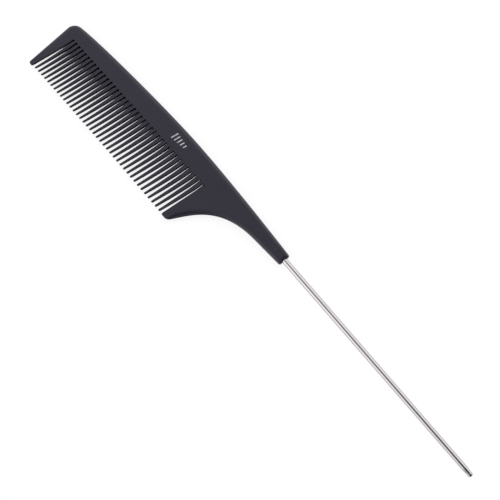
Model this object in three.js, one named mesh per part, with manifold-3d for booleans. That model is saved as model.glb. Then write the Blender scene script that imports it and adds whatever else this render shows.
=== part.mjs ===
// Rat tail comb: a moulded comb with graded teeth and a tapering shank, and a steel tail pin set in it.
//
// Drawing axes, in millimetres: x runs from the head end of the comb to the tip of the tail pin,
// y runs from the pin's axis up to the back of the comb (the teeth point down), and z runs from the
// comb's middle plane to its upper face. The group at the end moves this to the part's own origin.

import * as THREE from 'three';
import Module from 'manifold-3d';
import { mergeVertices } from 'three/addons/utils/BufferGeometryUtils.js';

const wasm = await Module();
wasm.setup();

// ---------------------------------------------------------------- driving dimensions

const OVERALL_LENGTH = 235;
const THICKNESS = 4;
const HALF_THICKNESS = THICKNESS / 2;
const EDGE_ROUND_ACROSS = 0.8; // rounding of the outer edge, seen from above
const EDGE_ROUND_THROUGH = 1.4; // and through the thickness
const EDGE_ROUND_STEPS = 4;

// Back of the comb
const HEAD_CORNER_RADIUS = 4;
const HEAD_CORNER_CENTRE = new THREE.Vector2(4, -4.4);
const HEAD_CORNER_END = 99.6; // degrees, where the corner meets the back
const BACK_RISE_PULL = new THREE.Vector2(12, 1.3); // control point of the curve from the corner to the crest
const BACK_CREST = new THREE.Vector2(70, 4.3);
const CREST_PULL_HEAD = 19; // reach of the crest's level tangent, each way
const CREST_PULL_TAIL = 17;

// Shank
const SHANK_END_X = 123.9;
const SHANK_END_TOP = 2.65;
const SHANK_END_BOTTOM = -2.76;
const SHANK_CORNER = 0.9;
const SHANK_PULL = new THREE.Vector2(-18, 0.85); // tangent of the back at the shank's end
const SHANK_TAPER = 0.062; // slope of the shank's lower edge
const NECK = new THREE.Vector2(109.8, -3.62); // where the hollow of the heel meets the shank

const NECK_PULL = 18.5; // reach of the hollow's tangent at the neck

// Guard teeth
const TIP_Y = -24.4; // line of the tooth tips
const HEAD_GUARD_TIP_Y = -24.7;
const GUARD_CORNER = 0.9;
const HEAD_GUARD_ROOT = 5.45; // x of its inner edge at the cut line
const HEAD_GUARD_TIP = 2.1; // x of its inner edge at the tip
const HEEL_GUARD_ROOT = 80.78;
const HEEL_GUARD_TIP = 78.33;
const HEEL_FLANK = new THREE.Vector2(82.42, -23.2); // outer foot of the heel guard
const HEEL_FLANK_ANGLE = 60; // degrees
const HEEL_FLANK_PULL = 9; // reach of the hollow's tangent at the foot
const HEEL_FOOT_PULL = new THREE.Vector2(0.75, 1.25); // control point of the rounded foot
const HEEL_FOOT_LENGTH = 2.2;
const HEEL_FOOT_DROP = 0.1; // the foot stands this much below the line of the tips
const WINDOW_DROP = 0.5; // the cut for the free teeth runs out this far below the tips
const WINDOW_HEAD_FLARE = 0.9; // it rounds the guards' inner tip corners off over these lengths
const WINDOW_HEEL_FLARE = 1.5;
const WINDOW_CORNER = 1;
const WINDOW_HEAD_DIP = 0.2;

// Free teeth
const TOOTH_COUNT = 38;
const FIRST_TIP_X = 3.36;
const FIRST_PITCH = 1.797;
const PITCH_GROWTH = 0.0102; // each pitch is this much longer than the last
const LEAN_HEAD = 9.7; // degrees, tips lean towards the head
const LEAN_HEEL = 8.7;
const ROOT_LINE_HEAD = -5.85; // y of the closed end of the gaps, at the head
const ROOT_LINE_SLOPE = 0.0184;
const ROOT_GAP = 0.06;
const TIP_WIDTH_SHARE = 0.45; // tip width as a share of the pitch
const TIP_THICKNESS = 1.4;
const TIP_LINE_BOW = 0.2; // the middle tips stand this much short of the tip line
const TOOTH_SHOULDER = 0.28; // chamfer of a tooth's long edges at the root, seen from above
const TOOTH_WALL_SHARE = 0.6; // share of a tooth's thickness that its upright walls take
const TIP_ROUND = 0.5; // length of a tooth's rounded tip

// Tail pin
const PIN_RADIUS = 1.2;
const PIN_ROOT_X = 98; // hidden end of the pin, at the bottom of the shank's bore
const PIN_TAPER_LENGTH = 5;
const PIN_TIP_RADIUS = 1.0;
const PIN_SIDES = 32;
const GROOVE_COUNT = 5;
const GROOVE_PITCH = 3.6;
const GROOVE_WIDTH = 1.4;
const GROOVE_DEPTH = 0.25;
const GROOVE_START = 3; // from the pin's hidden end
const BORE_GAP = 0.1; // clearance between the bore's facets and the pin's
const BORE_RUNOUT = 1; // the bore's cutter starts this far outside the shank

// Printed mark: a row of slanting bars, each shorter than the last
const MARK_CENTRE = new THREE.Vector2(62, -0.4);
const MARK_BARS = 5;
const MARK_PITCH = 1.45;
const MARK_BAR_WIDTH = 0.5;
const MARK_LONGEST = 3.2;
const MARK_STEP = 0.4;
const MARK_SLANT = 0.2;
const MARK_THICKNESS = 0.05;

// Planes where the moulding is divided into simple pieces
const CUT_Y = -6;
const SHANK_START_X = 90;
const FAR = 300; // larger than the comb in every direction

// ---------------------------------------------------------------- materials

const plastic = (name) => new THREE.MeshStandardMaterial({ name, color: 0x3a3740, roughness: 0.55, metalness: 0 });
const steel = () => new THREE.MeshStandardMaterial({ name: 'steel', color: 0xc9c8c6, roughness: 0.2, metalness: 1 });
const ink = () => new THREE.MeshStandardMaterial({ name: 'ink', color: 0xd8d6de, roughness: 0.6, metalness: 0 });

// ---------------------------------------------------------------- solids

// A three.js geometry as a manifold solid.
function toSolid(geometry) {
  const plain = geometry.clone();
  plain.deleteAttribute('normal');
  plain.deleteAttribute('uv');
  const merged = mergeVertices(plain, 1e-4);
  return new wasm.Manifold(new wasm.Mesh({
    numProp: 3,
    vertProperties: new Float32Array(merged.attributes.position.array),
    triVerts: new Uint32Array(merged.index.array),
  }));
}

// A manifold solid as a three.js geometry. Points that lie on the dividing planes are put exactly on
// them, so that neighbouring pieces meet face to face.
function toGeometry(solid) {
  const mesh = solid.getMesh();
  const geometry = new THREE.BufferGeometry();
  const position = new THREE.BufferAttribute(new Float32Array(mesh.vertProperties), 3);
  for (let i = 0; i < position.count; i += 1) {
    if (Math.abs(position.getX(i) - SHANK_START_X) < 1e-4) position.setX(i, SHANK_START_X);
    if (Math.abs(position.getY(i) - CUT_Y) < 1e-4) position.setY(i, CUT_Y);
  }
  geometry.setAttribute('position', position);
  geometry.setIndex(new THREE.BufferAttribute(new Uint32Array(mesh.triVerts), 1));
  return geometry;
}

// A block between two corners, to cut with.
function block(xLow, xHigh, yLow, yHigh) {
  const geometry = new THREE.BoxGeometry(xHigh - xLow, yHigh - yLow, FAR);
  geometry.translate((xLow + xHigh) / 2, (yLow + yHigh) / 2, 0);
  return toSolid(geometry);
}

// A flat outline as a block that passes right through the comb.
function throughCut(shape) {
  const geometry = new THREE.ExtrudeGeometry(shape, { depth: 2 * THICKNESS, bevelEnabled: false });
  geometry.translate(0, 0, -THICKNESS);
  return toSolid(geometry);
}

// ---------------------------------------------------------------- tooth layout

const degrees = (angle) => THREE.MathUtils.degToRad(angle);
const rootLine = (x) => ROOT_LINE_HEAD + ROOT_LINE_SLOPE * x;

// The plan of one free tooth: the straight lines of its two edges, from the root to the tip.
function toothPlan(index) {
  const share = index / (TOOTH_COUNT - 1);
  const pitch = FIRST_PITCH + PITCH_GROWTH * index;
  const tipX = FIRST_TIP_X + FIRST_PITCH * index + (PITCH_GROWTH * index * index) / 2;
  const tipY = TIP_Y + TIP_LINE_BOW * Math.sin(Math.PI * share);
  const lean = Math.tan(degrees(LEAN_HEAD + (LEAN_HEEL - LEAN_HEAD) * share));
  const rootY = rootLine(tipX);
  const rootX = tipX + (rootY - tipY) * lean;
  const rootWidth = pitch - ROOT_GAP;
  const tipWidth = pitch * TIP_WIDTH_SHARE;
  const at = (y) => {
    const t = (rootY - y) / (rootY - tipY);
    const centre = THREE.MathUtils.lerp(rootX, tipX, t);
    const half = THREE.MathUtils.lerp(rootWidth, tipWidth, t) / 2;
    return { left: centre - half, right: centre + half };
  };
  return { rootY, tipY, at };
}

const teeth = Array.from({ length: TOOTH_COUNT }, (_, index) => toothPlan(index));
const headGuardEdge = (y) => THREE.MathUtils.mapLinear(y, CUT_Y, TIP_Y, HEAD_GUARD_ROOT, HEAD_GUARD_TIP);
const heelGuardEdge = (y) => THREE.MathUtils.mapLinear(y, CUT_Y, TIP_Y, HEEL_GUARD_ROOT, HEEL_GUARD_TIP);

// Below the dividing line the comb thins evenly towards the tips.
function thinning(y) {
  return THREE.MathUtils.mapLinear(Math.min(y, CUT_Y), CUT_Y, TIP_Y, 1, TIP_THICKNESS / THICKNESS);
}

// ---------------------------------------------------------------- comb moulding

// The outer outline, with the space of the free teeth still filled.
function combOutline() {
  const shape = new THREE.Shape();
  shape.moveTo(0, HEAD_GUARD_TIP_Y + GUARD_CORNER);
  shape.lineTo(0, HEAD_CORNER_CENTRE.y);
  shape.absarc(HEAD_CORNER_CENTRE.x, HEAD_CORNER_CENTRE.y, HEAD_CORNER_RADIUS,
    Math.PI, degrees(HEAD_CORNER_END), true);
  shape.bezierCurveTo(BACK_RISE_PULL.x, BACK_RISE_PULL.y, BACK_CREST.x - CREST_PULL_HEAD, BACK_CREST.y,
    BACK_CREST.x, BACK_CREST.y);
  shape.bezierCurveTo(BACK_CREST.x + CREST_PULL_TAIL, BACK_CREST.y, SHANK_END_X + SHANK_PULL.x,
    SHANK_END_TOP + SHANK_PULL.y, SHANK_END_X - SHANK_CORNER, SHANK_END_TOP);
  shape.absarc(SHANK_END_X - SHANK_CORNER, SHANK_END_TOP - SHANK_CORNER, SHANK_CORNER, Math.PI / 2, 0, true);
  shape.absarc(SHANK_END_X - SHANK_CORNER, SHANK_END_BOTTOM + SHANK_CORNER, SHANK_CORNER, 0, -Math.PI / 2, true);
  shape.lineTo(NECK.x, NECK.y);
  const flank = new THREE.Vector2(Math.cos(degrees(HEEL_FLANK_ANGLE)), Math.sin(degrees(HEEL_FLANK_ANGLE)));
  shape.bezierCurveTo(NECK.x - NECK_PULL, NECK.y - NECK_PULL * SHANK_TAPER,
    HEEL_FLANK.x + HEEL_FLANK_PULL * flank.x, HEEL_FLANK.y + HEEL_FLANK_PULL * flank.y,
    HEEL_FLANK.x, HEEL_FLANK.y);
  shape.quadraticCurveTo(HEEL_FLANK.x - HEEL_FOOT_PULL.x, HEEL_FLANK.y - HEEL_FOOT_PULL.y,
    HEEL_FLANK.x - HEEL_FOOT_LENGTH, TIP_Y - HEEL_FOOT_DROP);
  shape.lineTo(GUARD_CORNER, HEAD_GUARD_TIP_Y);
  shape.absarc(GUARD_CORNER, HEAD_GUARD_TIP_Y + GUARD_CORNER, GUARD_CORNER, -Math.PI / 2, -Math.PI, true);
  return shape;
}

// The space of the free teeth, between the two guards, with the guards' inner tip corners rounded.
function toothWindow() {
  const shape = new THREE.Shape();
  shape.moveTo(HEAD_GUARD_ROOT, CUT_Y);
  const cornerY = TIP_Y + WINDOW_CORNER;
  const bottomY = TIP_Y - WINDOW_DROP;
  shape.lineTo(headGuardEdge(cornerY), cornerY);
  shape.quadraticCurveTo(HEAD_GUARD_TIP, TIP_Y - WINDOW_HEAD_DIP, HEAD_GUARD_TIP - WINDOW_HEAD_FLARE, bottomY);
  shape.lineTo(HEEL_GUARD_TIP + WINDOW_HEEL_FLARE, bottomY);
  shape.quadraticCurveTo(HEEL_GUARD_TIP, TIP_Y, heelGuardEdge(cornerY), cornerY);
  shape.lineTo(HEEL_GUARD_ROOT, CUT_Y);
  return shape;
}

// The closed end of the gap between two neighbouring edges, above the dividing line.
function gapEnd(leftEdge, rightEdge, rootY) {
  const shape = new THREE.Shape();
  const below = CUT_Y - 0.5;
  const shoulder = rootY - ROOT_GAP / 2;
  const left = leftEdge(shoulder);
  const right = rightEdge(shoulder);
  shape.moveTo(leftEdge(below), below);
  shape.lineTo(left, shoulder);
  shape.lineTo(left + (right - left) * 0.25, rootY);
  shape.lineTo(left + (right - left) * 0.75, rootY);
  shape.lineTo(right, shoulder);
  shape.lineTo(rightEdge(below), below);
  return shape;
}

function combBlank() {
  const geometry = new THREE.ExtrudeGeometry(combOutline(), {
    depth: THICKNESS - 2 * EDGE_ROUND_THROUGH,
    curveSegments: 16,
    bevelEnabled: true,
    bevelThickness: EDGE_ROUND_THROUGH,
    bevelSize: EDGE_ROUND_ACROSS,
    bevelOffset: -EDGE_ROUND_ACROSS,
    bevelSegments: EDGE_ROUND_STEPS,
  });
  geometry.translate(0, 0, EDGE_ROUND_THROUGH - HALF_THICKNESS);
  return toSolid(geometry);
}

function pinBore() {
  const mouthX = SHANK_END_X + BORE_RUNOUT;
  const geometry = new THREE.CylinderGeometry(
    PIN_RADIUS + BORE_GAP, PIN_RADIUS + BORE_GAP, mouthX - PIN_ROOT_X, PIN_SIDES);
  geometry.rotateZ(Math.PI / 2);
  geometry.translate((mouthX + PIN_ROOT_X) / 2, 0, 0);
  return toSolid(geometry);
}

function combMoulding() {
  let solid = combBlank().subtract(throughCut(toothWindow())).subtract(pinBore());
  for (let gap = 0; gap <= TOOTH_COUNT; gap += 1) {
    const before = gap > 0 ? (y) => teeth[gap - 1].at(y).right : headGuardEdge;
    const after = gap < TOOTH_COUNT ? (y) => teeth[gap].at(y).left : heelGuardEdge;
    solid = solid.subtract(throughCut(gapEnd(before, after, rootLine(before(CUT_Y)))));
  }
  return solid;
}

// A guard tooth, thinned towards its tip.
function guardGeometry(solid) {
  const geometry = toGeometry(solid);
  const position = geometry.attributes.position;
  for (let i = 0; i < position.count; i += 1) {
    position.setZ(i, position.getZ(i) * thinning(position.getY(i)));
  }
  return geometry;
}

// ---------------------------------------------------------------- free teeth

// An eight-sided section, upright walls with chamfered edges, swept from the dividing line to the tip.
// The section is drawn one unit each way from its middle; the sweep then places each of its stations.
function toothGeometry(plan) {
  const faceReach = 0.5;
  const section = new THREE.Shape();
  section.moveTo(-1, -TOOTH_WALL_SHARE);
  section.lineTo(-faceReach, -1);
  section.lineTo(faceReach, -1);
  section.lineTo(1, -TOOTH_WALL_SHARE);
  section.lineTo(1, TOOTH_WALL_SHARE);
  section.lineTo(faceReach, 1);
  section.lineTo(-faceReach, 1);
  section.lineTo(-1, TOOTH_WALL_SHARE);
  const roundAngles = [0, 30, 55, 75];
  const stations = [
    { y: CUT_Y, scale: 1 },
    ...roundAngles.map((angle) => ({
      y: plan.tipY + TIP_ROUND * (1 - Math.sin(degrees(angle))),
      scale: Math.cos(degrees(angle)),
    })),
  ];
  const steps = stations.length - 1;
  const geometry = new THREE.ExtrudeGeometry(section, { depth: steps, steps, bevelEnabled: false });
  const position = geometry.attributes.position;
  for (let i = 0; i < position.count; i += 1) {
    const station = stations[Math.round(position.getZ(i))];
    const edges = plan.at(station.y);
    const halfWidth = ((edges.right - edges.left) / 2) * station.scale;
    const halfThick = HALF_THICKNESS * thinning(station.y) * station.scale;
    const across = position.getX(i);
    const shoulder = (TOOTH_SHOULDER * halfThick) / HALF_THICKNESS;
    const reach = Math.abs(across) < 1 ? halfWidth - shoulder : halfWidth;
    const centre = (edges.left + edges.right) / 2;
    position.setXYZ(i, centre + Math.sign(across) * reach, station.y, position.getY(i) * halfThick);
  }
  return geometry;
}

// ---------------------------------------------------------------- tail pin

function pinGeometry() {
  const profile = [new THREE.Vector2(0, PIN_ROOT_X), new THREE.Vector2(PIN_RADIUS, PIN_ROOT_X)];
  for (let groove = 0; groove < GROOVE_COUNT; groove += 1) {
    const start = PIN_ROOT_X + GROOVE_START + groove * GROOVE_PITCH;
    profile.push(new THREE.Vector2(PIN_RADIUS, start));
    profile.push(new THREE.Vector2(PIN_RADIUS - GROOVE_DEPTH, start + GROOVE_DEPTH));
    profile.push(new THREE.Vector2(PIN_RADIUS - GROOVE_DEPTH, start + GROOVE_WIDTH - GROOVE_DEPTH));
    profile.push(new THREE.Vector2(PIN_RADIUS, start + GROOVE_WIDTH));
  }
  profile.push(new THREE.Vector2(PIN_RADIUS, OVERALL_LENGTH - PIN_TAPER_LENGTH));
  for (const angle of [0, 25, 50, 72]) {
    const reach = PIN_TIP_RADIUS * (1 - Math.sin(degrees(angle)));
    profile.push(new THREE.Vector2(PIN_TIP_RADIUS * Math.cos(degrees(angle)), OVERALL_LENGTH - reach));
  }
  profile.push(new THREE.Vector2(0, OVERALL_LENGTH));
  const geometry = new THREE.LatheGeometry(profile, PIN_SIDES);
  geometry.rotateZ(-Math.PI / 2);
  return geometry;
}

// ---------------------------------------------------------------- printed mark

function markBarGeometry(index) {
  const halfLength = (MARK_LONGEST - MARK_STEP * index) / 2;
  const lean = halfLength * MARK_SLANT;
  const halfWidth = MARK_BAR_WIDTH / 2;
  const shape = new THREE.Shape();
  shape.moveTo(-halfWidth - lean, -halfLength);
  shape.lineTo(halfWidth - lean, -halfLength);
  shape.lineTo(halfWidth + lean, halfLength);
  shape.lineTo(-halfWidth + lean, halfLength);
  return new THREE.ExtrudeGeometry(shape, { depth: MARK_THICKNESS, bevelEnabled: false });
}

// ---------------------------------------------------------------- assembly

const comb = new THREE.Group();
comb.position.set(-OVERALL_LENGTH / 2, -(BACK_CREST.y + HEAD_GUARD_TIP_Y) / 2, HALF_THICKNESS);

function addPiece(name, geometry, material) {
  const mesh = new THREE.Mesh(geometry, material);
  mesh.name = name;
  comb.add(mesh);
  return mesh;
}

const moulding = combMoulding();
const above = (xLow, xHigh) => moulding.intersect(block(xLow, xHigh, CUT_Y, FAR));
const below = (xLow, xHigh) => moulding.intersect(block(xLow, xHigh, -FAR, CUT_Y));
const middleX = OVERALL_LENGTH / 6;

addPiece('comb_back', toGeometry(above(-FAR, SHANK_START_X)), plastic('comb_back'));
addPiece('shank', toGeometry(above(SHANK_START_X, FAR)), plastic('shank'));
addPiece('head_guard_tooth', guardGeometry(below(-FAR, middleX)), plastic('head_guard_tooth'));
addPiece('heel_guard_tooth', guardGeometry(below(middleX, FAR)), plastic('heel_guard_tooth'));

teeth.forEach((plan, index) => {
  const name = `tooth_${String(index + 1).padStart(2, '0')}`;
  addPiece(name, toothGeometry(plan), plastic(name));
});

addPiece('tail_pin', pinGeometry(), steel());

for (let bar = 0; bar < MARK_BARS; bar += 1) {
  const mesh = addPiece(`mark_bar_${bar + 1}`, markBarGeometry(bar), ink());
  mesh.position.set(MARK_CENTRE.x + (bar - (MARK_BARS - 1) / 2) * MARK_PITCH, MARK_CENTRE.y, HALF_THICKNESS);
}

export default comb;
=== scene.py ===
"""Rat tail comb: the looks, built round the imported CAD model.

The comb is one moulding in dark charcoal plastic with a steel tail pin set in its shank and a small
printed mark on its upper face. All three are made here as fine meshes. They stand for the CAD nodes of
the same place and size, and they stay inside the CAD model's box.

Drawing axes, in millimetres: x runs from the comb's head end to the tip of the tail pin, y runs from the
pin's axis up to the back of the comb (the teeth point down), and z from the middle plane to the upper face.
"""

import math
from collections import namedtuple

import bpy
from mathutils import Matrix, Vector
from mathutils.geometry import delaunay_2d_cdt
from mathutils.kdtree import KDTree


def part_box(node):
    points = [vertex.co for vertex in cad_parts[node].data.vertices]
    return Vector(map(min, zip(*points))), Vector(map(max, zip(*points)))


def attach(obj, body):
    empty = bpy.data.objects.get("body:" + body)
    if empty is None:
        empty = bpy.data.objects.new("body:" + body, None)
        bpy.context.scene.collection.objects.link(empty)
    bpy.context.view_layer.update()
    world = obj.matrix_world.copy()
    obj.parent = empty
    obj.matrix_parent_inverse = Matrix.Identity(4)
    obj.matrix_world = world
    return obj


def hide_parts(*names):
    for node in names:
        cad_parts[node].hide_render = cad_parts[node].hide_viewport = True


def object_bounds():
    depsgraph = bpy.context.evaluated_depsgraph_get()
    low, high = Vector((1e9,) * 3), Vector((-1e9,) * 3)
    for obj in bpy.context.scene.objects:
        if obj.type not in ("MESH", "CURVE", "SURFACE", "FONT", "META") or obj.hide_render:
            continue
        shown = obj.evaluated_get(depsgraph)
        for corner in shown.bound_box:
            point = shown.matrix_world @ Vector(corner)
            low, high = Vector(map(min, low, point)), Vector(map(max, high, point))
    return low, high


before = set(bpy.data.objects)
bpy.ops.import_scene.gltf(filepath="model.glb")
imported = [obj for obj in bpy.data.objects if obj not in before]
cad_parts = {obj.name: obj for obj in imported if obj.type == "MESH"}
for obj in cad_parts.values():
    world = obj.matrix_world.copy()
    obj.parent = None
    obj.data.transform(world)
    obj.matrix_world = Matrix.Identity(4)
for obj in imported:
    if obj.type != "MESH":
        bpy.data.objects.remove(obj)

MM = 0.001
cad_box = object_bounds()
pin_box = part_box("tail_pin")

# The drawing's origin in the frame: head end of the comb, axis of the pin, middle plane.
ORIGIN = Vector((cad_box[0].x, (pin_box[0].y + pin_box[1].y) / 2, (pin_box[0].z + pin_box[1].z) / 2))


def place(x, y, z):
    """A point of the drawing, in millimetres, as a point of the frame, in metres."""
    return ORIGIN + Vector((x, y, z)) * MM


def lerp(a, b, t):
    return a + (b - a) * t


def smooth(t):
    """Smooth step from 0 to 1."""
    t = min(max(t, 0.0), 1.0)
    return t * t * (3 - 2 * t)


def ease(value, start, length):
    """Smooth step from 0 at start to 1 at start + length."""
    return smooth((value - start) / length)


# ---------------------------------------------------------------- driving dimensions, in millimetres

OVERALL_LENGTH = (cad_box[1].x - cad_box[0].x) / MM
THICKNESS = 4.0
HALF_THICKNESS = THICKNESS / 2

# Back
HEAD_CORNER_RADIUS = 4.0
HEAD_CORNER_CENTRE = (4.0, -4.4)
HEAD_CORNER_END = 99.6  # degrees, where the corner meets the back
BACK_RISE_PULL = (12.0, 1.3)  # control point of the curve from the corner to the crest
BACK_CREST = (70.0, 4.3)
CREST_PULL_HEAD = 19.0  # reach of the crest's level tangent, each way
CREST_PULL_TAIL = 17.0

# Shank
SHANK_END_X = 123.9
SHANK_END_TOP = 2.65
SHANK_END_BOTTOM = -2.76
SHANK_CORNER = 0.9
SHANK_PULL = (-18.0, 0.85)  # tangent of the back at the shank's end
SHANK_TAPER = 0.062  # slope of the shank's lower edge
NECK = (109.8, -3.62)  # where the hollow of the heel meets the shank
NECK_PULL = 18.5  # reach of the hollow's tangent at the neck

# Guard teeth
TIP_Y = -24.4  # line of the tooth tips
HEAD_GUARD_TIP_Y = -24.7
GUARD_CORNER = 0.9
GUARD_WALL_FOOT_Y = TIP_Y + 1.0  # the inner walls end here, and their tip corners begin
HEAD_GUARD_ROOT = 5.45  # x of its inner wall at the cut line
HEAD_GUARD_TIP = 2.1  # x of its inner wall at the tip
HEAD_TIP_CORNER = 0.5  # length of its inner tip corner along the tip
HEAD_TIP_PULL = 0.1  # height of the corner's control point over the tip
HEEL_GUARD_ROOT = 80.72
HEEL_GUARD_TIP = 78.33
HEEL_TIP_CORNER = 0.65
HEEL_FLANK = (82.42, -23.2)  # outer foot of the heel guard
HEEL_FLANK_ANGLE = 60.0  # degrees
HEEL_FLANK_PULL = 9.0  # reach of the hollow's tangent at the foot
HEEL_FOOT_PULL = (0.75, 1.25)  # control point of the rounded foot
HEEL_FOOT_LENGTH = 2.2
HEEL_FOOT_DROP = 0.1  # the foot stands this much below the line of the tips
CUT_Y = -6.0  # the comb thins from here to the tips
THINNING_BLEND = 2.0  # length of the soft start of the thinning

# Free teeth
TOOTH_COUNT = 38
FIRST_TIP_X = 3.36
FIRST_PITCH = 1.797
PITCH_GROWTH = 0.0102  # each pitch is this much longer than the last
LEAN_HEAD = 9.7  # degrees, tips lean towards the head
LEAN_HEEL = 8.7
ROOT_LINE_HEAD = -5.85  # y of the closed end of the gaps, at the head
ROOT_LINE_SLOPE = 0.0184
ROOT_GAP = 0.06  # width of a gap at its closed end
TIP_WIDTH_SHARE = 0.45  # tip width as a share of the pitch
TIP_THICKNESS = 1.4
TIP_LINE_BOW = 0.2  # the middle tips stand this much short of the tip line
TIP_ROUND = 0.5  # length of a tooth's rounded tip
TIP_FACE_SHARE = 0.25  # share of that length that the flat face takes
TOOTH_SWELL = 0.06  # extra width halfway along a tooth
TOOTH_BEND = 0.65  # the teeth are not quite straight: their middles stand towards the tail
TOOTH_BEND_NEUTRAL = 0.7  # share of the way from tip to root where the bend changes side
ROOT_LEAN = 2.0  # extra lean of the teeth towards the head close to their roots
ROOT_LEAN_START = 0.7  # share of the way from tip to root where it begins

# Closed ends of the gaps
GAP_END_RISE = 0.15  # how far the closed end of a gap is scooped into the back
GAP_END_SQUARENESS = 0.75  # power of the scoop's sine and cosine: below 1 its plan is squarer
NOTCH_REACH = 0.5  # a shallow notch in the tail side of the closed end
NOTCH_LENGTH = 0.6
NOTCH_FADE = 0.15  # length of its lower end, where it runs out into the wall

# Rounding of the edges: how far in from the silhouette the flat face begins
BACK_ROUND = 1.8
HEAD_ROUND = 1.2
SHANK_ROUND = 1.5
SHANK_END_ROUND = 0.85
SHANK_END_SLOPE = 1.9  # the same where the pin goes in
FLANK_ROUND = 2.4
GUARD_INNER_ROUND = 0.25
GUARD_TIP_ROUND = 0.4
GUARD_FOOT_ROUND = 0.5
GUARD_ROUND_FADE = 8.0  # the guards' inner rounding changes over this height from the foot of the wall
TOOTH_ROUND_ROOT = 0.22
TOOTH_ROUND_TIP = 0.28
TOOTH_TAIL_ROUND = 0.16  # more on the tail side of the teeth, near their roots
UNDER_TIGHTER = 0.45  # how much tighter the gap walls, which carry painted shade, are rounded underneath
ROUND_STEPS = 9
CREASE_LIMIT = 0.8  # where the rounding is narrower than this, the face meets it in a crease
PARTING_RIDGE = 0.03  # height of the witness line left where the two halves of the mould met

# Where the rounding changes along a stretch of the outline: start and length, as shares of the stretch
HEAD_SIDE_WIDENS = (0.0, 1 / 3)
BACK_WIDENS = (0.0, 1 / 6)
BACK_TO_SHANK = (0.6, 0.3)
BACK_TO_SHANK_END = (0.94, 0.055)
SHANK_END_WIDENS = (0.0, 0.2)
UNDERSIDE_WIDENS = (0.0, 1 / 3)
FLANK_WIDENS = (0.0, 0.6)
FLANK_NARROWS = (0.75, 0.2)
LEDGE_STARTS = (0.1, 0.3)
LEDGE_ENDS = (0.85, 0.12)
HEEL_TIP_NARROWS = (0.0, 0.5)

# The gaps carry painted shade: their walls and closed ends are painted darker and duller than the moulded
# faces, where shade falls
GAP_WALL_SHADE = 0.7  # share of painted shade on the walls; it is 1 in the notches
GAP_SHADE_FADE = 6  # power of the painted shade's fading up the rounding: the higher, the nearer to the face it stops

# Tail pin
PIN_RADIUS = 1.2
PIN_ROOT_X = 98.0  # hidden end of the pin, at the bottom of the shank's bore
PIN_ROOT_CHAMFER = 0.3
PIN_TAPER_LENGTH = 5.0
PIN_TIP_RADIUS = 1.0
PIN_TIP_LENGTH = 0.9  # length of the rounded tip
PIN_SIDES = 64
GROOVE_COUNT = 5
GROOVE_PITCH = 3.6
GROOVE_WIDTH = 1.4
GROOVE_DEPTH = 0.25
GROOVE_START = 3.0  # from the pin's hidden end
BORE_RADIUS = 1.22
BORE_MOUTH_RADIUS = 1.4
BORE_MOUTH_DEPTH = 0.2
BORE_MOUTH_EASE = 0.02  # the shank's end begins to turn in this far outside the mouth
BORE_MIDDLE = 8.0  # depth of a row of points part of the way down the bore
BORE_END_GAP = 0.2  # from the pin's hidden end to the bottom of the bore
BORE_COLUMNS = 8  # columns of points of the shank's end that the bore's mouth takes up
BORE_LEVELS = 6  # and levels, on each side of the parting line

# ---------------------------------------------------------------- outline of the moulding

# One point of the outline at the middle plane, the way from it to where the flat face begins, and how
# far the section between them is stepped: 0 is a plain elliptical rounding, 1 has the narrow ledge
# that runs along the hollow of the heel. The last field is the share of painted shade there: the walls
# and closed ends of the gaps are painted darker and duller, as shade.
Edge = namedtuple("Edge", "x y inset_x inset_y ledge sawn", defaults=(0.0, 0.0))

# The ledge's section: (share of the way across, share of the height) at each step of the rounding
LEDGE_SECTION = ((0, 0), (0.01, 0.28), (0.025, 0.43), (0.06, 0.49), (0.12, 0.5),
                 (0.34, 0.505), (0.41, 0.56), (0.56, 0.78), (0.70, 0.94), (1, 1))

UP = Vector((0, 0.1))  # a short way towards the back, to continue an upright stretch of the outline


def bezier(points, steps):
    """Points along a Bezier curve of any degree, without the last one."""
    made = []
    for step in range(steps):
        t = step / steps
        level = [Vector(p) for p in points]
        while len(level) > 1:
            level = [a.lerp(b, t) for a, b in zip(level, level[1:])]
        made.append(level[0])
    return made


def arc(centre, radius, start, end, steps):
    """Points along an arc between two angles in degrees, without the last one."""
    angles = [math.radians(lerp(start, end, step / steps)) for step in range(steps)]
    return [Vector((centre[0] + radius * math.cos(a), centre[1] + radius * math.sin(a))) for a in angles]


def with_insets(points, before, after, rounds, ledge=lambda share: 0.0):
    """Edges along a stretch of outline, with insets square to it; before and after are its neighbours.
    Rounds gives the size of the inset at each share of the stretch, and ledge its stepping."""
    edges = []
    chain = [before] + points + [after]
    for index, point in enumerate(points):
        along = (chain[index + 2] - chain[index]).normalized()
        share = index / max(len(points) - 1, 1)
        size = rounds(share)
        edges.append(Edge(point.x, point.y, along.y * size, -along.x * size, ledge(share)))
    return edges


def root_lean(along):
    """Shift towards the head at a share of the way from the tip of a tooth to its root."""
    return ROOT_LEAN * max(along - ROOT_LEAN_START, 0.0) ** 2


def tooth_bend(along):
    """Sideways shift of a tooth at a share of the way from its tip to its root."""
    return TOOTH_BEND * along * (TOOTH_BEND_NEUTRAL - along) - root_lean(along)


def guard_wall(root_x, tip_x, y):
    """x of the inner wall of a guard tooth, which leans as the free teeth do near their roots."""
    share = (y - CUT_Y) / (TIP_Y - CUT_Y)
    return lerp(root_x, tip_x, share) - root_lean(1 - share)


def head_guard_wall(y):
    return guard_wall(HEAD_GUARD_ROOT, HEAD_GUARD_TIP, y)


def heel_guard_wall(y):
    return guard_wall(HEEL_GUARD_ROOT, HEEL_GUARD_TIP, y)


def guard_round(y):
    """Inset of a guard tooth's face from its inner wall."""
    return lerp(GUARD_TIP_ROUND, GUARD_INNER_ROUND, ease(y, GUARD_WALL_FOOT_Y, GUARD_ROUND_FADE))


def root_line(x):
    """y of the closed ends of the gaps."""
    return ROOT_LINE_HEAD + ROOT_LINE_SLOPE * x


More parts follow.
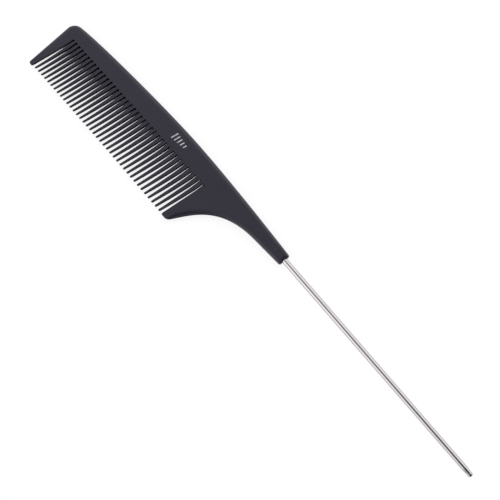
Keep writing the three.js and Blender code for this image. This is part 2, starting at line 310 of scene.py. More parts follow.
class Tooth:
    """The plan of one free tooth, which narrows from the root to the tip and bends a little."""

    def __init__(self, index):
        share = index / (TOOTH_COUNT - 1)
        pitch = FIRST_PITCH + PITCH_GROWTH * index
        self.tip_x = FIRST_TIP_X + FIRST_PITCH * index + PITCH_GROWTH * index ** 2 / 2
        self.tip_y = TIP_Y + TIP_LINE_BOW * math.sin(math.pi * share)
        self.lean = math.tan(math.radians(lerp(LEAN_HEAD, LEAN_HEEL, share)))
        self.root_y = root_line(self.tip_x)
        self.root_width = pitch - ROOT_GAP
        self.tip_width = pitch * TIP_WIDTH_SHARE

    def share(self, y):
        """Share of the way from the root to the tip."""
        return (self.root_y - y) / (self.root_y - self.tip_y)

    def centre(self, y):
        along = (y - self.tip_y) / (self.root_y - self.tip_y)
        return self.tip_x + (y - self.tip_y) * self.lean + tooth_bend(along)

    def half(self, y):
        share = min(max(self.share(y), 0.0), 1.0)
        swell = TOOTH_SWELL * 4 * share * (1 - share)
        return (lerp(self.root_width, self.tip_width, self.share(y)) + swell) / 2

    def round(self, y):
        """Inset of the face from the head side of the tooth."""
        return lerp(TOOTH_ROUND_ROOT, TOOTH_ROUND_TIP, smooth(self.share(y)))

    def tail_round(self, y):
        """The same on its tail side."""
        return self.round(y) + TOOTH_TAIL_ROUND * (1 - smooth(self.share(y)))

    def left(self, y):
        return self.centre(y) - self.half(y)

    def right(self, y):
        return self.centre(y) + self.half(y)


teeth = [Tooth(index) for index in range(TOOTH_COUNT)]

SIDE_STEPS = 14  # steps along the side of a tooth
TIP_STEPS = 8  # round its tip
GAP_STEPS = 8  # and round the closed end of a gap


def wall_edge(x, y, inset_x):
    """A point of the outline on the wall of a gap, where painted shade darkens the wall."""
    return Edge(x, y, inset_x, 0.0, sawn=GAP_WALL_SHADE)


def tooth_edges(tooth, right_top, left_top):
    """Down the right side of a tooth, round its tip and up its left side."""
    edges = []
    low = tooth.tip_y + TIP_ROUND
    for step in range(SIDE_STEPS):
        y = lerp(right_top, low, step / SIDE_STEPS)
        edges.append(wall_edge(tooth.right(y), y, -tooth.tail_round(y)))
    half = tooth.half(low)
    face_half = half - tooth.round(low)
    for step in range(TIP_STEPS + 1):
        turn = math.pi * step / TIP_STEPS
        drop = math.sin(turn)
        y = low - TIP_ROUND * drop
        face_y = low - TIP_ROUND * TIP_FACE_SHARE * drop
        x = tooth.centre(y) + half * math.cos(turn)
        face_x = tooth.centre(face_y) + face_half * math.cos(turn)
        # the walls' painted shade fades out round the tip
        edges.append(Edge(x, y, face_x - x, face_y - y, sawn=GAP_WALL_SHADE * (1 - drop)))
    for step in range(1, SIDE_STEPS):
        y = lerp(low, left_top, step / SIDE_STEPS)
        edges.append(wall_edge(tooth.left(y), y, tooth.round(y)))
    return edges + notch_edges(tooth.left, tooth.round, left_top)


def notch_edges(wall, wall_round, top):
    """The notch in the wall on the tail side of a gap, just below its closed end, painted in full shade."""
    low = top - NOTCH_LENGTH - NOTCH_FADE
    high = top - NOTCH_LENGTH
    return [wall_edge(wall(low), low, wall_round(low)),
            Edge(wall(high), high, wall_round(high) + NOTCH_REACH, 0.0, sawn=1.0)]


def gap_end_edges(left_x, right_x, left_round, right_round, y):
    """Round the closed end of a gap, from its right side to its left side. The wall stays at the end of
    the gap, and the face is scooped back from it, further on the right, where the notch is."""
    edges = []
    middle = (left_x + right_x) / 2
    half = (right_x - left_x) / 2
    for step in range(GAP_STEPS + 1):
        turn = math.pi * step / GAP_STEPS
        across, rise = math.cos(turn), math.sin(turn)
        squared_across = math.copysign(abs(across) ** GAP_END_SQUARENESS, across)
        squared_rise = rise ** GAP_END_SQUARENESS
        side_round = right_round + NOTCH_REACH if across > 0 else left_round
        x = middle + half * across
        face_x = middle + (half + side_round) * squared_across
        edge_y = y + ROOT_GAP / 2 * rise
        # the closed end of the gap is painted in full shade
        edges.append(Edge(x, edge_y, face_x - x, GAP_END_RISE * squared_rise, sawn=1.0))
    return edges


def moulding_outline():
    """The outside of the outline, from the foot of the head side over the back to the heel guard's tip."""
    head_foot = Vector((0, HEAD_GUARD_TIP_Y + GUARD_CORNER))
    corner_start = Vector((0, HEAD_CORNER_CENTRE[1]))
    head_side = bezier([head_foot, corner_start], steps=14)
    corner = arc(HEAD_CORNER_CENTRE, HEAD_CORNER_RADIUS, 180, HEAD_CORNER_END, steps=14)
    corner_end = arc(HEAD_CORNER_CENTRE, HEAD_CORNER_RADIUS, HEAD_CORNER_END, 0, steps=1)[0]

    crest = Vector(BACK_CREST)
    rise = bezier([corner_end, BACK_RISE_PULL, (crest.x - CREST_PULL_HEAD, crest.y), crest], steps=30)
    shank_top = Vector((SHANK_END_X - SHANK_CORNER, SHANK_END_TOP))
    fall = bezier([crest, (crest.x + CREST_PULL_TAIL, crest.y),
                   (SHANK_END_X + SHANK_PULL[0], SHANK_END_TOP + SHANK_PULL[1]), shank_top], steps=28)

    end_high = Vector((SHANK_END_X, SHANK_END_TOP - SHANK_CORNER))
    end_low = Vector((SHANK_END_X, SHANK_END_BOTTOM + SHANK_CORNER))
    end_top = arc((shank_top.x, end_high.y), SHANK_CORNER, 90, 0, steps=7)
    end = bezier([end_high, end_low], steps=BORE_COLUMNS)
    end_bottom = arc((shank_top.x, end_low.y), SHANK_CORNER, 0, -90, steps=7)
    shank_bottom = Vector((shank_top.x, SHANK_END_BOTTOM))

    neck = Vector(NECK)
    underside = bezier([shank_bottom, neck], steps=8)
    flank_foot = Vector(HEEL_FLANK)
    angle = math.radians(HEEL_FLANK_ANGLE)
    foot_tangent = Vector((HEEL_FLANK_PULL * math.cos(angle), HEEL_FLANK_PULL * math.sin(angle)))
    flank = bezier([neck, (neck.x - NECK_PULL, neck.y - NECK_PULL * SHANK_TAPER),
                    flank_foot + foot_tangent, flank_foot], steps=44)
    tip_y = TIP_Y - HEEL_FOOT_DROP
    heel_bottom = Vector((flank_foot.x - HEEL_FOOT_LENGTH, tip_y))
    foot = bezier([flank_foot, flank_foot - Vector(HEEL_FOOT_PULL), heel_bottom], steps=8)
    heel_corner = Vector((HEEL_GUARD_TIP + HEEL_TIP_CORNER, tip_y))
    heel_side = Vector((heel_guard_wall(GUARD_WALL_FOOT_Y), GUARD_WALL_FOOT_Y))
    heel_tip = [heel_bottom] + bezier([heel_corner, (HEEL_GUARD_TIP, TIP_Y), heel_side], steps=6)

    edges = with_insets(head_side + corner, head_foot - UP, corner_end, head_side_round)
    edges += with_insets(rise + fall, corner[-1], end_top[0], back_round)
    edges += with_insets(end_top, fall[-1], end_high, lambda share: SHANK_END_ROUND)
    edges += with_insets(end, end_high + UP, end_low, shank_end_round)
    edges += with_insets(end_bottom, end_low + UP, shank_bottom, lambda share: SHANK_END_ROUND)
    edges += with_insets(underside, end_bottom[-1], flank[0], underside_round)
    edges += with_insets(flank + foot, underside[-1], heel_bottom, flank_round, flank_ledge)
    return edges + with_insets(heel_tip, foot[-1], heel_side, heel_tip_round)


def head_side_round(share):
    """Inset up the head side and round the head corner."""
    return lerp(GUARD_FOOT_ROUND, HEAD_ROUND, ease(share, *HEAD_SIDE_WIDENS))


def back_round(share):
    """Inset along the back, from the head corner to the shank's end."""
    widest = lerp(lerp(HEAD_ROUND, BACK_ROUND, ease(share, *BACK_WIDENS)), SHANK_ROUND,
                  ease(share, *BACK_TO_SHANK))
    return lerp(widest, SHANK_END_ROUND, ease(share, *BACK_TO_SHANK_END))


def shank_end_round(share):
    """Inset down the shank's end: widest where the pin goes in."""
    return lerp(SHANK_END_ROUND, SHANK_END_SLOPE, ease(min(share, 1 - share), *SHANK_END_WIDENS))


def underside_round(share):
    """Inset along the shank's lower edge, from its end to the neck."""
    return lerp(SHANK_END_ROUND, SHANK_ROUND, ease(share, *UNDERSIDE_WIDENS))


def flank_round(share):
    """Inset along the hollow edge, from the neck to the heel guard's foot: widest at the middle."""
    widest = lerp(SHANK_ROUND, FLANK_ROUND, ease(share, *FLANK_WIDENS))
    return lerp(widest, GUARD_FOOT_ROUND, ease(share, *FLANK_NARROWS))


def flank_ledge(share):
    """How far the section is stepped along the same edge."""
    return ease(share, *LEDGE_STARTS) * (1 - ease(share, *LEDGE_ENDS))


def heel_tip_round(share):
    """Inset round the heel guard's tip."""
    return lerp(GUARD_FOOT_ROUND, GUARD_TIP_ROUND, ease(share, *HEEL_TIP_NARROWS))


def moulding_edges():
    """The closed outline of the moulding, clockwise, with all its gaps."""
    edges = moulding_outline()
    heel_top = root_line(heel_guard_wall(CUT_Y)) - ROOT_GAP / 2
    for step in range(SIDE_STEPS):
        y = lerp(GUARD_WALL_FOOT_Y, heel_top, step / SIDE_STEPS)
        edges.append(wall_edge(heel_guard_wall(y), y, guard_round(y)))
    edges += notch_edges(heel_guard_wall, guard_round, heel_top)
    for index in reversed(range(TOOTH_COUNT + 1)):
        left = teeth[index - 1] if index > 0 else None
        right = teeth[index] if index < TOOTH_COUNT else None
        left_at = left.right if left else head_guard_wall
        right_at = right.left if right else heel_guard_wall
        left_round = left.tail_round if left else guard_round
        right_round = right.round if right else guard_round
        y = gap_top(index)
        edges += gap_end_edges(left_at(y), right_at(y), left_round(y), right_round(y), y)
        if left:
            edges += tooth_edges(left, y, gap_top(index - 1))[1:]
    head_top = gap_top(0)
    for step in range(1, SIDE_STEPS + 1):
        y = lerp(head_top, GUARD_WALL_FOOT_Y, step / SIDE_STEPS)
        edges.append(wall_edge(head_guard_wall(y), y, -guard_round(y)))
    return edges + head_tip_edges()


def head_tip_edges():
    """Round the head guard's tip, from its inner wall to the foot of the head side."""
    side = Vector((head_guard_wall(GUARD_WALL_FOOT_Y), GUARD_WALL_FOOT_Y))
    pull = Vector((HEAD_GUARD_TIP, HEAD_GUARD_TIP_Y + HEAD_TIP_PULL))
    inner_foot = Vector((HEAD_GUARD_TIP - HEAD_TIP_CORNER, HEAD_GUARD_TIP_Y))
    inner = bezier([side, pull, inner_foot], steps=6)[1:] + [inner_foot]
    centre = (GUARD_CORNER, HEAD_GUARD_TIP_Y + GUARD_CORNER)
    outer = arc(centre, GUARD_CORNER, -90, -180, steps=6)
    return with_insets(inner + outer, side, Vector((0, centre[1])), lambda share: GUARD_TIP_ROUND)


def gap_top(index):
    """y of the shoulder of the closed end of the gap to the left of tooth number index."""
    before = teeth[index - 1].right(CUT_Y) if index > 0 else head_guard_wall(CUT_Y)
    return root_line(before) - ROOT_GAP / 2


# ---------------------------------------------------------------- mesh of the moulding


def face_height(y):
    """Height of the upper face over the middle plane: level on the back, thinning towards the tips."""
    span = CUT_Y - TIP_Y
    fall = max(CUT_Y + THINNING_BLEND / 2 - y, 0.0)
    if fall > THINNING_BLEND:
        ramp = fall - THINNING_BLEND / 2
    else:
        ramp = fall ** 2 / (2 * THINNING_BLEND)
    return HALF_THICKNESS * (1 - (1 - TIP_THICKNESS / THICKNESS) * min(ramp / span, 1.0))


class MeshBuilder:
    """Collects points and faces. Each point has its share of the way from the face to the parting line
    (rim) and of the painted shade in the gaps; creases are the pairs of points joined by a sharp edge."""

    def __init__(self):
        self.points = []
        self.rims = []
        self.sawn = []
        self.faces = []
        self.creases = set()

    def add(self, x, y, z, rim, sawn=0.0):
        self.points.append(place(x, y, z))
        self.rims.append(rim)
        self.sawn.append(sawn)
        return len(self.points) - 1

    def strip(self, first, second):
        """Quads between two closed rows of the same length."""
        for i in range(len(first)):
            j = (i + 1) % len(first)
            self.faces.append((first[i], first[j], second[j], second[i]))

    def to_object(self, name):
        used = sorted({point for face in self.faces for point in face})
        order = {point: index for index, point in enumerate(used)}
        faces = [[order[point] for point in face] for face in self.faces]
        mesh = bpy.data.meshes.new(name)
        mesh.from_pydata([self.points[point] for point in used], [], faces)
        mesh.validate()
        attribute = mesh.attributes.new("rim", "FLOAT", "POINT")
        attribute.data.foreach_set("value", [self.rims[point] for point in used])
        # the share of painted shade in the gaps, as a point attribute
        attribute = mesh.attributes.new("sawn", "FLOAT", "POINT")
        attribute.data.foreach_set("value", [self.sawn[point] for point in used])
        mesh.shade_smooth()
        creases = {frozenset(order[point] for point in pair) for pair in self.creases}
        for edge in mesh.edges:
            if frozenset(edge.vertices) in creases:
                edge.use_edge_sharp = True
        made = bpy.data.objects.new(name, mesh)
        bpy.context.scene.collection.objects.link(made)
        return made


def section(step, ledge):
    """(share of the way across, share of the height) at one step of the rounding."""
    turn = math.pi / 2 * step / ROUND_STEPS
    across, height = LEDGE_SECTION[step]
    return lerp(1 - math.cos(turn), across, ledge), lerp(math.sin(turn), height, ledge)


def ring_of(builder, edges, level):
    """One closed row of points round the outline. Level 0 is the crest of the parting ridge, 1 and -1 its
    foot, and ROUND_STEPS + 1 the rim of the face above or, with a minus, below."""
    side = 1 if level >= 0 else -1
    step = abs(level) - 1
    row = []
    for edge in edges:
        length = math.hypot(edge.inset_x, edge.inset_y)
        foot = PARTING_RIDGE / length
        if level == 0:
            across, height = 0.0, 0.0
        else:
            across, rise = section(step, edge.ledge)
            across = lerp(foot, 1.0, across)
            if side < 0:
                # the gap walls, which carry painted shade, are rounded tighter underneath
                across *= 1 - UNDER_TIGHTER * edge.sawn
            top = face_height(edge.y + edge.inset_y)
            height = lerp(PARTING_RIDGE, top, rise)
        climb = max(step, 0) / ROUND_STEPS
        # painted shade fades out up the rounding towards the face
        row.append(builder.add(edge.x + edge.inset_x * across, edge.y + edge.inset_y * across,
                               side * height, 1 - climb, edge.sawn * (1 - climb ** GAP_SHADE_FADE)))
    return row


# Points inside the flat faces: a staggered grid, kept clear of the rims
GRID_SPACING = 1.6
GRID_TOP = 4.0
GRID_HEIGHT = 30.0
GRID_CLEARANCE = 0.7  # from a rim, as a share of the spacing


def fill_face(builder, edges, top_row, bottom_row):
    """Both flat faces, inside the innermost rows."""
    outline = [Vector((e.x + e.inset_x, e.y + e.inset_y)) for e in edges]
    near = KDTree(len(outline))
    for index, point in enumerate(outline):
        near.insert(point.to_3d(), index)
    near.balance()
    inner = []
    for row in range(int(GRID_HEIGHT / GRID_SPACING)):
        for column in range(int(SHANK_END_X / GRID_SPACING)):
            point = Vector(((column + 0.5 * (row % 2)) * GRID_SPACING, GRID_TOP - row * GRID_SPACING))
            if near.find(point.to_3d())[2] > GRID_CLEARANCE * GRID_SPACING:
                inner.append(point)
    loop = list(range(len(outline)))
    points, _, faces, origins, _, _ = delaunay_2d_cdt(outline + inner, [], [loop], 1, 1e-7)
    rows = {1: {}, -1: {}}
    for index, origin in enumerate(origins):
        for source in origin:
            if source < len(outline):
                rows[1][index] = top_row[source]
                rows[-1][index] = bottom_row[source]
    for face in faces:
        for side in (1, -1):
            corners = []
            for index in face:
                if index not in rows[side]:
                    p = points[index]
                    rows[side][index] = builder.add(p.x, p.y, side * face_height(p.y), 0.0)
                corners.append(rows[side][index])
            builder.faces.append(tuple(corners if side > 0 else reversed(corners)))


# The mouth of the bore: (radius, depth) from its rim to the plain hole
BORE_MOUTH_SECTION = ((BORE_MOUTH_RADIUS, 0.0), (BORE_MOUTH_RADIUS - 0.08, 0.04),
                      (BORE_RADIUS + 0.02, BORE_MOUTH_DEPTH), (BORE_RADIUS, BORE_MOUTH_DEPTH + 0.1))
BORE_RING_SHARES = (0.35, 0.7)  # where rings of points lie between the loop round it and the mouth
BORE_RIM = 0.5  # the rim share of the points of the bore
SHANK_END_RIM = 0.8  # and of the shank's end round it


def shank_end_x(z):
    """x of the rounded end of the shank at a height over the middle plane."""
    rise = min(abs(z) / HALF_THICKNESS, 1.0)
    return SHANK_END_X - SHANK_END_SLOPE * (1 - math.sqrt(1 - rise ** 2))


def bore(builder, end_loop):
    """The hole for the pin: from a loop of points on the shank's end, into the shank."""
    offsets = [(builder.points[i] - ORIGIN) / MM for i in end_loop]
    angles = [math.atan2(p.z, p.y) for p in offsets]

    def circle(radius, depth):
        row = []
        for angle in angles:
            y, z = radius * math.cos(angle), radius * math.sin(angle)
            row.append(builder.add(shank_end_x(z) - depth, y, z, BORE_RIM))
        return row

    row = end_loop
    lip_radius = BORE_MOUTH_RADIUS + BORE_MOUTH_EASE
    for share in BORE_RING_SHARES:
        between = []
        for angle, p in zip(angles, offsets):
            y = lerp(p.y, lip_radius * math.cos(angle), share)
            z = lerp(p.z, lip_radius * math.sin(angle), share)
            between.append(builder.add(shank_end_x(z), y, z, SHANK_END_RIM))
        builder.strip(row, between)
        row = between
    bottom_x = PIN_ROOT_X - BORE_END_GAP
    plain_hole = ((BORE_RADIUS, BORE_MIDDLE), (BORE_RADIUS, SHANK_END_X - bottom_x))
    for radius, depth in BORE_MOUTH_SECTION + plain_hole:
        ring = circle(radius, depth)
        builder.strip(row, ring)
        row = ring
    centre = builder.add(bottom_x, 0, 0, BORE_RIM)
    for i, point in enumerate(row):
        builder.faces.append((point, row[(i + 1) % len(row)], centre))


def comb_moulding():
    """The whole plastic moulding."""
    builder = MeshBuilder()
    edges = moulding_edges()
    levels = range(-ROUND_STEPS - 1, ROUND_STEPS + 2)
    rows = {level: ring_of(builder, edges, level) for level in levels}
    # The columns of the shank's end, where the pin goes in
    first = next(i for i, e in enumerate(edges) if e.x > SHANK_END_X - 1e-6)
    columns = range(first, first + BORE_COLUMNS)
    high = BORE_LEVELS
    count = len(edges)
    for level in list(levels)[:-1]:
        for i in range(count):
            j = (i + 1) % count
            if i in columns and -high <= level < high:
                continue
            builder.faces.append((rows[level][i], rows[level + 1][i], rows[level + 1][j], rows[level][j]))
    widths = [math.hypot(e.inset_x, e.inset_y) for e in edges]
    for row in (rows[ROUND_STEPS + 1], rows[-ROUND_STEPS - 1]):
        for i in range(count):
            if min(widths[i - 1], widths[i]) < CREASE_LIMIT:
                builder.creases.add((row[i - 1], row[i]))
    loop = [rows[high][i] for i in range(first, first + BORE_COLUMNS)]
    loop += [rows[level][first + BORE_COLUMNS] for level in range(high, -high, -1)]
    loop += [rows[-high][i] for i in range(first + BORE_COLUMNS, first, -1)]
    loop += [rows[level][first] for level in range(-high, high)]
    bore(builder, loop)
    fill_face(builder, edges, rows[ROUND_STEPS + 1], rows[-ROUND_STEPS - 1])
    return builder.to_object("comb_moulding")


# ---------------------------------------------------------------- tail pin

PIN_ROD_COVER = 2.0  # the rows of points of the plain rod begin this far inside the shank
ROD_STEPS = 24
TAPER_STEPS = 6
PIN_TIP_STEPS = 10


def turned(name, profile, sides):
    """A body of revolution about the pin's axis from (x, radius) pairs; its ends close on the axis."""
    builder = MeshBuilder()
    start = builder.add(profile[0][0], 0, 0, 0.0)
    rows = []
    for x, radius in profile[1:-1]:
        row = []
        for side in range(sides):
            angle = 2 * math.pi * side / sides
            row.append(builder.add(x, radius * math.cos(angle), radius * math.sin(angle), 0.0))
        rows.append(row)
    end = builder.add(profile[-1][0], 0, 0, 0.0)
    for i in range(sides):
        j = (i + 1) % sides
        builder.faces.append((start, rows[0][j], rows[0][i]))
        builder.faces.append((rows[-1][i], rows[-1][j], end))
    for first, second in zip(rows, rows[1:]):
        builder.strip(first, second)
    return builder.to_object(name)


def tail_pin():
    """The steel pin: a grooved root in the shank, a plain rod, and a slightly tapered round tip."""
    profile = [(PIN_ROOT_X, 0.0), (PIN_ROOT_X, PIN_RADIUS - PIN_ROOT_CHAMFER),
               (PIN_ROOT_X + PIN_ROOT_CHAMFER, PIN_RADIUS)]
    for groove in range(GROOVE_COUNT):
        start = PIN_ROOT_X + GROOVE_START + GROOVE_PITCH * groove
        end = start + GROOVE_WIDTH
        profile += [(start, PIN_RADIUS), (start + GROOVE_DEPTH, PIN_RADIUS - GROOVE_DEPTH),
                    (end - GROOVE_DEPTH, PIN_RADIUS - GROOVE_DEPTH), (end, PIN_RADIUS)]
    rod_start = SHANK_END_X - PIN_ROD_COVER
    taper_start = OVERALL_LENGTH - PIN_TAPER_LENGTH
    tip_start = OVERALL_LENGTH - PIN_TIP_LENGTH
    for step in range(ROD_STEPS + 1):
        profile.append((lerp(rod_start, taper_start, step / ROD_STEPS), PIN_RADIUS))
    for step in range(1, TAPER_STEPS + 1):
        share = step / TAPER_STEPS
        radius = lerp(PIN_RADIUS, PIN_TIP_RADIUS, smooth(share))
        profile.append((lerp(taper_start, tip_start, share), radius))
    for step in range(1, PIN_TIP_STEPS):
        turn = math.pi / 2 * step / PIN_TIP_STEPS
        profile.append((tip_start + PIN_TIP_LENGTH * math.sin(turn), PIN_TIP_RADIUS * math.cos(turn)))
    profile.append((OVERALL_LENGTH, 0.0))
    return turned("tail_pin_rod", profile, PIN_SIDES)


# ---------------------------------------------------------------- printed mark

MARK_CENTRE = (62.0, -0.4)
MARK_BARS = 5
MARK_PITCH = 1.45
MARK_BAR_WIDTH = 0.5
MARK_LONGEST = 3.2
MARK_STEP = 0.4  # each bar is this much shorter than the last
MARK_SLANT = 0.2
MARK_THICKNESS = 0.045
MARK_CORNER = 0.15
MARK_CORNER_STEPS = 4
MARK_SECTION = ((0.0, 0.0), (0.0, 0.5), (0.03, 0.9), (0.08, 1.0))  # (inset, share of the thickness)


def mark_bar(index):
    """One slanting bar of ink with rounded corners and a soft upper edge."""
    builder = MeshBuilder()
    length = MARK_LONGEST - MARK_STEP * index
    centre_x = MARK_CENTRE[0] + (index - (MARK_BARS - 1) / 2) * MARK_PITCH
    plan = []
    half_width, half_length = MARK_BAR_WIDTH / 2, length / 2
    for quarter in range(4):
        sign_x = 1 if quarter in (0, 3) else -1
        sign_y = 1 if quarter in (0, 1) else -1
        for step in range(MARK_CORNER_STEPS + 1):
            angle = math.radians(90 * (quarter + step / MARK_CORNER_STEPS))
            plan.append((sign_x * (half_width - MARK_CORNER) + MARK_CORNER * math.cos(angle),
                         sign_y * (half_length - MARK_CORNER) + MARK_CORNER * math.sin(angle)))
    rows = []
    for inset, height in MARK_SECTION:
        row = []
        for x, y in plan:
            shrink_x = 1 - inset / half_width
            shrink_y = 1 - inset / half_length
            row.append(builder.add(centre_x + x * shrink_x + y * MARK_SLANT, MARK_CENTRE[1] + y * shrink_y,
                                   HALF_THICKNESS + MARK_THICKNESS * height, 0.0))
        rows.append(row)
    for first, second in zip(rows, rows[1:]):
        builder.strip(first, second)
    builder.faces.append(tuple(rows[-1]))
    builder.faces.append(tuple(reversed(rows[0])))
    return builder.to_object(f"printed_bar_{index + 1}")


# ---------------------------------------------------------------- materials


PLASTIC_DARKER = (0.0215, 0.0192, 0.0312, 1)
PLASTIC_LIGHTER = (0.0248, 0.0223, 0.0357, 1)
# near black, painted into the gaps as shade
PLASTIC_PAINTED_SHADE = (0.003, 0.002, 0.005, 1)
STEEL_DARKER = (0.545, 0.515, 0.525, 1)
STEEL_LIGHTER = (0.61, 0.58, 0.59, 1)
INK_THIN = (0.42, 0.41, 0.45, 1)
INK_FULL = (0.62, 0.61, 0.65, 1)

# Sockets of a colour mix node
MIX_FACTOR = 0
MIX_FIRST = 6
MIX_SECOND = 7
MIX_RESULT = 2


class Nodes:
    """A short way to write a node material."""

    def __init__(self, name):
        self.material = bpy.data.materials.new(name)
        self.material.use_nodes = True
        self.tree = self.material.node_tree
        self.shader = self.tree.nodes["Principled BSDF"]

    def node(self, kind, inputs=None, **settings):
        made = self.tree.nodes.new(kind)
        for key, value in settings.items():
            setattr(made, key, value)
        for key, value in (inputs or {}).items():
            if isinstance(value, bpy.types.NodeSocket):
                self.tree.links.new(value, made.inputs[key])
            else:
                made.inputs[key].default_value = value
        return made

    def mix(self, factor, first, second):
        """A blend of two colours, from the first at 0 to the second at 1."""
        inputs = {MIX_FACTOR: factor, MIX_FIRST: first, MIX_SECOND: second}
        return self.node("ShaderNodeMix", inputs, data_type="RGBA").outputs[MIX_RESULT]

    def link(self, source, key):
        self.tree.links.new(source, self.shader.inputs[key])


def plastic_material():
    """Matt charcoal plastic: spark-eroded grain, faint flow and handling marks, edges rubbed smoother, and
    painted shade in the gaps, darker and duller on their walls and closed ends."""
    n = Nodes("charcoal_plastic")
    where = n.node("ShaderNodeTexCoord").outputs["Object"]
    cloud = n.node("ShaderNodeTexNoise", {"Vector": where, "Scale": 90.0, "Detail": 3.0, "Roughness": 0.6})
    grain = n.node("ShaderNodeTexNoise", {"Vector": where, "Scale": 5200.0, "Detail": 2.0,
                                          "Roughness": 0.55})
    along = n.node("ShaderNodeMapping", {"Vector": where, "Scale": (60.0, 2600.0, 900.0)})
    rubs = n.node("ShaderNodeTexNoise", {"Vector": along.outputs["Vector"], "Scale": 1.0, "Detail": 4.0})
    rim = n.node("ShaderNodeAttribute", attribute_name="rim").outputs["Fac"]
    worn = n.node("ShaderNodeMath", {0: rim, 1: cloud.outputs["Fac"]}, operation="MULTIPLY")

    tone = n.node("ShaderNodeMapRange", {"Value": cloud.outputs["Fac"], "From Min": 0.35, "From Max": 0.65})
    base = n.mix(tone.outputs["Result"], PLASTIC_DARKER, PLASTIC_LIGHTER)
    # painted shade: near black and with little specular on the gap walls and in the notches
    sawn = n.node("ShaderNodeAttribute", attribute_name="sawn").outputs["Fac"]
    n.link(n.mix(sawn, base, PLASTIC_PAINTED_SHADE), "Base Color")
    shaded_specular = n.node("ShaderNodeMapRange", {"Value": sawn, "To Min": 0.5, "To Max": 0.08})
    n.link(shaded_specular.outputs["Result"], "Specular IOR Level")

    rough = n.node("ShaderNodeMapRange", {"Value": rubs.outputs["Fac"], "From Min": 0.3, "From Max": 0.7,
                                          "To Min": 0.42, "To Max": 0.50})
    rubbed = n.node("ShaderNodeMath", {0: worn.outputs["Value"], 1: -0.10, 2: rough.outputs["Result"]},
                    operation="MULTIPLY_ADD")
    n.link(rubbed.outputs["Value"], "Roughness")

    bump = n.node("ShaderNodeBump", {"Strength": 0.35, "Distance": 0.00002, "Height": grain.outputs["Fac"]})
    n.link(bump.outputs["Normal"], "Normal")
    n.shader.inputs["IOR"].default_value = 1.5
    n.shader.inputs["Specular Tint"].default_value = (0.92, 0.86, 1.0, 1)
    return n.material


def steel_material():
    """Polished drawn wire: fine lines along the rod, and a little haze from handling."""
    n = Nodes("polished_steel")
    where = n.node("ShaderNodeTexCoord").outputs["Object"]
    along = n.node("ShaderNodeMapping", {"Vector": where, "Scale": (90.0, 7000.0, 7000.0)})
    lines = n.node("ShaderNodeTexNoise", {"Vector": along.outputs["Vector"], "Scale": 1.0, "Detail": 3.0})
    haze = n.node("ShaderNodeTexNoise", {"Vector": where, "Scale": 160.0, "Detail": 4.0, "Roughness": 0.6})
    n.link(n.mix(haze.outputs["Fac"], STEEL_DARKER, STEEL_LIGHTER), "Base Color")
    rough = n.node("ShaderNodeMapRange", {"Value": haze.outputs["Fac"], "From Min": 0.3, "From Max": 0.7,
                                          "To Min": 0.12, "To Max": 0.20})
    n.link(rough.outputs["Result"], "Roughness")
    bump = n.node("ShaderNodeBump", {"Strength": 0.12, "Distance": 0.00001, "Height": lines.outputs["Fac"]})
    n.link(bump.outputs["Normal"], "Normal")
    n.shader.inputs["Metallic"].default_value = 1.0
    n.shader.inputs["Specular Tint"].default_value = (0.32, 0.31, 0.31, 1)
    return n.material


def ink_material():
    """Pale pad-printing ink, slightly thin in places."""
    n = Nodes("pale_ink")
    where = n.node("ShaderNodeTexCoord").outputs["Object"]
    thin = n.node("ShaderNodeTexNoise", {"Vector": where, "Scale": 2600.0, "Detail": 3.0, "Roughness": 0.7})
    cover = n.node("ShaderNodeMapRange", {"Value": thin.outputs["Fac"], "From Min": 0.3, "From Max": 0.6})
    n.link(n.mix(cover.outputs["Result"], INK_THIN, INK_FULL), "Base Color")
    rough = n.node("ShaderNodeMapRange", {"Value": thin.outputs["Fac"], "To Min": 0.5, "To Max": 0.7})
    n.link(rough.outputs["Result"], "Roughness")
    bump = n.node("ShaderNodeBump", {"Strength": 0.3, "Distance": 0.00001, "Height": thin.outputs["Fac"]})
    n.link(bump.outputs["Normal"], "Normal")
    return n.material


def floor_material():
    """Pale matt sweep on a light table."""
    n = Nodes("pale_floor")
    n.shader.inputs["Base Color"].default_value = (0.25, 0.25, 0.25, 1)
    n.shader.inputs["Roughness"].default_value = 0.9
    n.shader.inputs["Specular IOR Level"].default_value = 0.1
    n.shader.inputs["Emission Color"].default_value = (1.0, 1.0, 1.0, 1)
    n.shader.inputs["Emission Strength"].default_value = 0.84
    return n.material


# ---------------------------------------------------------------- scene


def finish_piece(piece, material, nodes):
    """Gives a piece its material, attaches it to the root body, and hides the CAD nodes that it stands for.
    """
    piece.data.materials.append(material)
    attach(piece, "root")
    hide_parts(*nodes)


moulding_nodes = [name for name in sorted(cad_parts) if not name.startswith(("tail_pin", "mark_bar"))]
finish_piece(comb_moulding(), plastic_material(), moulding_nodes)
finish_piece(tail_pin(), steel_material(), ["tail_pin"])
ink = ink_material()
for bar in range(MARK_BARS):
    finish_piece(mark_bar(bar), ink, [f"mark_bar_{bar + 1}"])


FLOOR_REACH = 3.0  # metres, from the middle to each edge


def floor():
    """The floor that the comb lies on."""
    mesh = bpy.data.meshes.new("floor")
    signs = ((-1, -1), (1, -1), (1, 1), (-1, 1))
    corners = [(x * FLOOR_REACH, y * FLOOR_REACH) for x, y in signs]
    mesh.from_pydata([(x, y, cad_box[0].z) for x, y in corners], [], [(0, 1, 2, 3)])
    made = bpy.data.objects.new("floor", mesh)
    made.data.materials.append(floor_material())
    bpy.context.scene.collection.objects.link(made)


VIEW_CENTRE = (111.78, -7.49)  # point of the drawing in the middle of the view
VIEW_WIDTH = 194.8  # width of the view at the middle plane
VIEW_DISTANCE = 600.0  # from the camera to the middle plane
VIEW_TURN = 49.07  # degrees, turn of the camera about the vertical
SENSOR_WIDTH = 36.0


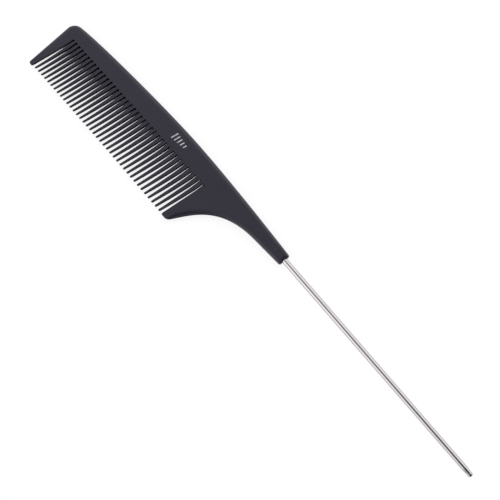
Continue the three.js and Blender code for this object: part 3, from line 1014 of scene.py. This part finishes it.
def camera():
    """A camera that looks straight down."""
    data = bpy.data.cameras.new("camera")
    data.sensor_width = SENSOR_WIDTH
    data.lens = SENSOR_WIDTH * VIEW_DISTANCE / VIEW_WIDTH
    data.clip_start = 0.01
    made = bpy.data.objects.new("camera", data)
    made.location = place(*VIEW_CENTRE, VIEW_DISTANCE)
    made.rotation_euler = (0, 0, math.radians(VIEW_TURN))
    bpy.context.scene.collection.objects.link(made)
    bpy.context.scene.camera = made


# The light tent. Each part is a direction, the angles from it in degrees where its light begins and where
# it is full, and its radiance: even light all round, the dim opening overhead, a brighter patch low on the
# teeth side, the dark end beyond the tail, and a little more light behind the comb's back.
TENT = (
    ((0, 0, 1), 180, 179, 0.95),
    ((0.2, 0.2, 1), 36, 6, -0.65),
    ((-0.1, -0.85, 0.55), 34, 12, 0.85),
    ((1, -0.15, 0.25), 79, 45, -0.95),
    ((-0.4, 0.8, 0.45), 70, 20, 0.45),
)
TENT_DARKEST = 0.02


def glow(tree, direction, towards, start, end, strength):
    """Light from one side of the tent: none past the start angle, all of it within the end angle."""
    dot = tree.nodes.new("ShaderNodeVectorMath")
    dot.operation = "DOT_PRODUCT"
    tree.links.new(direction, dot.inputs[0])
    dot.inputs[1].default_value = Vector(towards).normalized()
    ramp = tree.nodes.new("ShaderNodeMapRange")
    ramp.interpolation_type = "SMOOTHSTEP"
    tree.links.new(dot.outputs["Value"], ramp.inputs["Value"])
    ramp.inputs["From Min"].default_value = math.cos(math.radians(start))
    ramp.inputs["From Max"].default_value = math.cos(math.radians(end))
    ramp.inputs["To Min"].default_value = 0.0
    ramp.inputs["To Max"].default_value = strength
    return ramp.outputs["Result"]


def surroundings():
    """A white light tent: the sum of its parts, and never darker than TENT_DARKEST."""
    world = bpy.data.worlds.new("studio")
    world.use_nodes = True
    tree = world.node_tree
    direction = tree.nodes.new("ShaderNodeTexCoord").outputs["Generated"]
    total = None
    for towards, start, end, strength in TENT:
        part = glow(tree, direction, towards, start, end, strength)
        if total is None:
            total = part
        else:
            add = tree.nodes.new("ShaderNodeMath")
            add.operation = "ADD"
            tree.links.new(total, add.inputs[0])
            tree.links.new(part, add.inputs[1])
            total = add.outputs["Value"]
    limit = tree.nodes.new("ShaderNodeMath")
    limit.operation = "MAXIMUM"
    tree.links.new(total, limit.inputs[0])
    limit.inputs[1].default_value = TENT_DARKEST
    background = tree.nodes["Background"]
    background.inputs["Color"].default_value = (1.0, 1.0, 1.0, 1)
    tree.links.new(limit.outputs["Value"], background.inputs["Strength"])
    bpy.context.scene.world = world


floor()
surroundings()
camera()
bpy.context.scene.view_settings.view_transform = "Standard"
